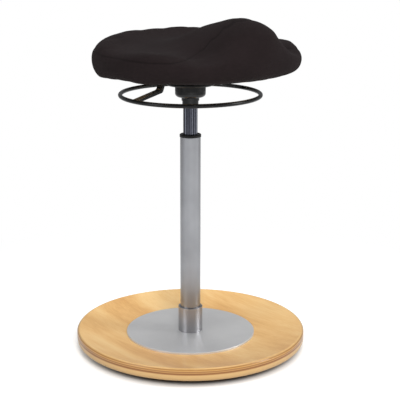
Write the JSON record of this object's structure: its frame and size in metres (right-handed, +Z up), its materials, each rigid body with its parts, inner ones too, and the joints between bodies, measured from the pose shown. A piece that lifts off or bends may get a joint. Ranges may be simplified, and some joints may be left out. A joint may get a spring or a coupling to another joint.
{
  "type": "wobble stool",
  "caption": "Wobble stool with a saddle cushion on a gas spring in a straight column, a ring-shaped height release, and a dished round plywood base that rocks.",
  "frame": {"origin": "on the floor, on the axis of the column, which is the centre of the round base", "axes": "+Z up along the column; the raised pommel at the front of the seat points to -Y; the two arms of the release ring lie along X"},
  "size_m": [0.454, 0.454, 0.6639],
  "materials": {
    "honey_wood": "clear satin lacquer",
    "pan_wood": "raw plywood",
    "plate_steel": "satin",
    "sleeve_steel": "turned, satin",
    "column_steel": "satin grey",
    "black_steel": "satin black powder coat",
    "black_casting": "satin black",
    "gloss_black": "gloss",
    "matte_black": "matte",
    "rod_steel": "hard chromed",
    "fastener_steel": "zinc plated",
    "ball_steel": "ground",
    "piston_alloy": "turned",
    "black_rubber": "matte",
    "seat_fabric": "matte warm black",
    "seat_foam": "moulded foam"
  },
  "bodies": {
    "base": {"rocker_base": "honey_wood", "sole_ring": "black_rubber", "foot_plate": "plate_steel", "base_nuts": "fastener_steel", "base_screws": "fastener_steel", "socket_sleeve": "sleeve_steel", "column_tube": "column_steel", "guide_bush": "matte_black", "end_plug": "fastener_steel", "lower_race": "ball_steel", "ball_cage": "matte_black", "bearing_balls": "ball_steel"},
    "rod": {"piston_rod": "rod_steel", "rod_clip": "fastener_steel", "upper_race": "ball_steel", "stop_buffer": "black_rubber", "piston": "piston_alloy"},
    "seat": {"gas_cylinder": "black_steel", "rod_guide": "matte_black", "taper_housing": "black_casting", "housing_cap": "gloss_black", "post_screws": "fastener_steel", "carrier_plate": "black_steel", "pan_screws": "fastener_steel", "pan_nuts": "fastener_steel", "seat_pan": "pan_wood", "seat_foam": "seat_foam", "seat_cover": "seat_fabric", "lever_bracket": "black_steel", "lever_pin": "fastener_steel"},
    "ring_lever": {"release_ring": "black_steel", "ring_strap": "black_steel", "pivot_lug": "black_steel"},
    "valve": {"valve_button": "fastener_steel"}
  },
  "joints": [
    {"name": "seat_swivel", "type": "hinge", "parent": "base", "child": "rod", "pos_m": [0, 0, 0.045], "axis": [0, 0, 1], "continuous": true},
    {"name": "seat_height", "type": "slide", "parent": "rod", "child": "seat", "axis": [0, 0, 1], "range_m": [-0.05, 0.2]},
    {"name": "ring_release", "type": "hinge", "parent": "seat", "child": "ring_lever", "pos_m": [-0.03, 0, 0.535], "axis": [0, 1, 0], "range_deg": [0, 5], "stiffness_Nm_per_rad": 30, "springref_deg": -1.15},
    {"name": "valve_press", "type": "slide", "parent": "seat", "child": "valve", "axis": [0, 0, -1], "range_m": [0, 0.003]}
  ],
  "couplings": [
    {"joint": "valve_press", "follows": "ring_release", "m_per_rad": 0.034}
  ]
}
